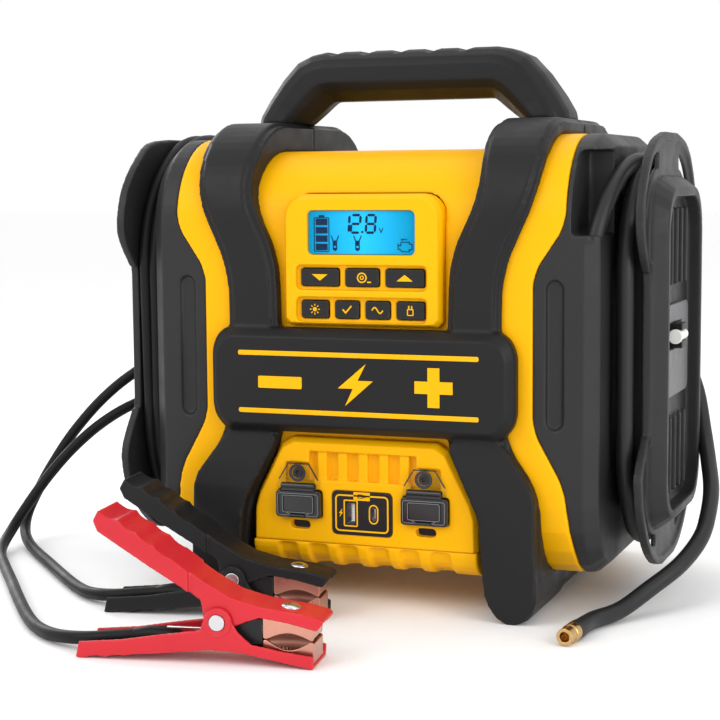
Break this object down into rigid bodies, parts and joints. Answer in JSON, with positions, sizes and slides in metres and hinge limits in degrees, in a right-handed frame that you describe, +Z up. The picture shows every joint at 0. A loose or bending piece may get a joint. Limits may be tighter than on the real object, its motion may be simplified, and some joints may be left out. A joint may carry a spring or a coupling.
{
  "type": "jump starter pack",
  "caption": "Portable jump starter and power station with carry handle, side spools, jumper cables with spring clamps, an air hose, display, buttons and covered outlets.",
  "frame": {"origin": "on the floor, at the middle of the pack's footprint, cords and clamps left out", "axes": "+X to the right across the front with the spools at its two ends, +Y from the front to the rear, +Z up; metres"},
  "size_m": [0.4898, 0.3618, 0.335],
  "materials": {
    "yellow_shell": "moulded ABS, satin yellow",
    "charcoal_moulding": "moulded, fine texture",
    "grey_panel": "fine texture",
    "white_plastic": "satin white",
    "display": "backlit blue",
    "clear_window": "clear polycarbonate",
    "black_button": "satin black",
    "circuit_board": "green solder mask",
    "plated_steel": "bright plated",
    "black_screw": "black oxide",
    "smoked_cover": "smoked, polished",
    "battery_case": "dark grey case",
    "cast_alloy": "as cast",
    "hose_rubber": "smooth",
    "brass_fitting": "turned",
    "cable_jacket": "glossy",
    "red_lever": "gloss red",
    "black_lever": "gloss black",
    "copper_jaw": "copper plated, bright"
  },
  "bodies": {
    "pack": {"front_housing": "yellow_shell", "rear_housing": "yellow_shell", "front_bumper": "charcoal_moulding", "rear_bumper": "charcoal_moulding", "name_stripes": "yellow_shell", "carry_handle": "charcoal_moulding", "left_side_pod": "charcoal_moulding", "right_side_pod": "charcoal_moulding", "left_flange": "charcoal_moulding", "right_flange": "charcoal_moulding", "accessory_panel": "grey_panel", "accessory_clip": "charcoal_moulding", "nozzle_adaptor": "white_plastic", "control_panel": "yellow_shell", "lcd_module": "display", "lcd_window": "clear_window", "control_board": "circuit_board", "lower_panel": "yellow_shell", "usb_panel": "black_button", "usb_a_port": "plated_steel", "usb_c_port": "plated_steel", "ac_outlets": "black_button", "cover_brackets": "clear_window", "screws": "black_screw", "battery": "battery_case", "compressor_motor": "cast_alloy", "compressor_pump": "cast_alloy", "inverter_board": "circuit_board", "fan_frame": "black_button", "rear_light_lens": "clear_window", "rear_light_board": "white_plastic", "charge_inlet": "black_button", "hose_winding": "hose_rubber", "air_hose": "hose_rubber", "hose_ferrule": "hose_rubber", "brass_nozzle": "brass_fitting", "cable_winding": "cable_jacket", "red_cable": "cable_jacket", "black_cable": "cable_jacket", "clamp_springs": "plated_steel", "red_lower_lever": "red_lever", "red_pin": "plated_steel", "red_lower_jaw": "copper_jaw", "black_lower_lever": "black_lever", "black_pin": "plated_steel", "black_lower_jaw": "copper_jaw"},
    "button_down": {"button_down": "black_button"},
    "button_air": {"button_air": "black_button"},
    "button_up": {"button_up": "black_button"},
    "button_light": {"button_light": "black_button"},
    "button_check": {"button_check": "black_button"},
    "button_ac": {"button_ac": "black_button"},
    "button_usb": {"button_usb": "black_button"},
    "left_outlet_cover": {"left_outlet_cover": "smoked_cover"},
    "right_outlet_cover": {"right_outlet_cover": "smoked_cover"},
    "cooling_fan": {"cooling_fan": "black_button"},
    "red_upper_lever": {"red_upper_lever": "red_lever", "red_upper_jaw": "copper_jaw"},
    "black_upper_lever": {"black_upper_lever": "black_lever", "black_upper_jaw": "copper_jaw"}
  },
  "joints": [
    {"name": "button_down_press", "type": "slide", "parent": "pack", "child": "button_down", "axis": [0, 1, 0], "range_m": [0, 0.001], "stiffness_N_per_m": 900, "springref_m": -0.0005},
    {"name": "button_air_press", "type": "slide", "parent": "pack", "child": "button_air", "axis": [0, 1, 0], "range_m": [0, 0.001], "stiffness_N_per_m": 900, "springref_m": -0.0005},
    {"name": "button_up_press", "type": "slide", "parent": "pack", "child": "button_up", "axis": [0, 1, 0], "range_m": [0, 0.001], "stiffness_N_per_m": 900, "springref_m": -0.0005},
    {"name": "button_light_press", "type": "slide", "parent": "pack", "child": "button_light", "axis": [0, 1, 0], "range_m": [0, 0.001], "stiffness_N_per_m": 900, "springref_m": -0.0005},
    {"name": "button_check_press", "type": "slide", "parent": "pack", "child": "button_check", "axis": [0, 1, 0], "range_m": [0, 0.001], "stiffness_N_per_m": 900, "springref_m": -0.0005},
    {"name": "button_ac_press", "type": "slide", "parent": "pack", "child": "button_ac", "axis": [0, 1, 0], "range_m": [0, 0.001], "stiffness_N_per_m": 900, "springref_m": -0.0005},
    {"name": "button_usb_press", "type": "slide", "parent": "pack", "child": "button_usb", "axis": [0, 1, 0], "range_m": [0, 0.001], "stiffness_N_per_m": 900, "springref_m": -0.0005},
    {"name": "left_cover_hinge", "type": "hinge", "parent": "pack", "child": "left_outlet_cover", "pos_m": [-0.0398, -0.1034, 0.072], "axis": [-1, 0, 0], "range_deg": [0, 105]},
    {"name": "right_cover_hinge", "type": "hinge", "parent": "pack", "child": "right_outlet_cover", "pos_m": [0.0398, -0.1034, 0.072], "axis": [-1, 0, 0], "range_deg": [0, 105]},
    {"name": "fan_spin", "type": "hinge", "parent": "pack", "child": "cooling_fan", "pos_m": [0.058, 0.0735, 0.14], "axis": [0, 1, 0], "continuous": true},
    {"name": "red_clamp_hinge", "type": "hinge", "parent": "pack", "child": "red_upper_lever", "pos_m": [-0.03108, -0.2252, 0.023], "axis": [0.1478, -0.989, 0], "range_deg": [0, 26], "stiffness_Nm_per_rad": 1.2, "springref_deg": -28.65},
    {"name": "black_clamp_hinge", "type": "hinge", "parent": "pack", "child": "black_upper_lever", "pos_m": [-0.06508, -0.1342, 0.023], "axis": [0.1478, -0.989, 0], "range_deg": [0, 26], "stiffness_Nm_per_rad": 1.2, "springref_deg": -28.65}
  ]
}
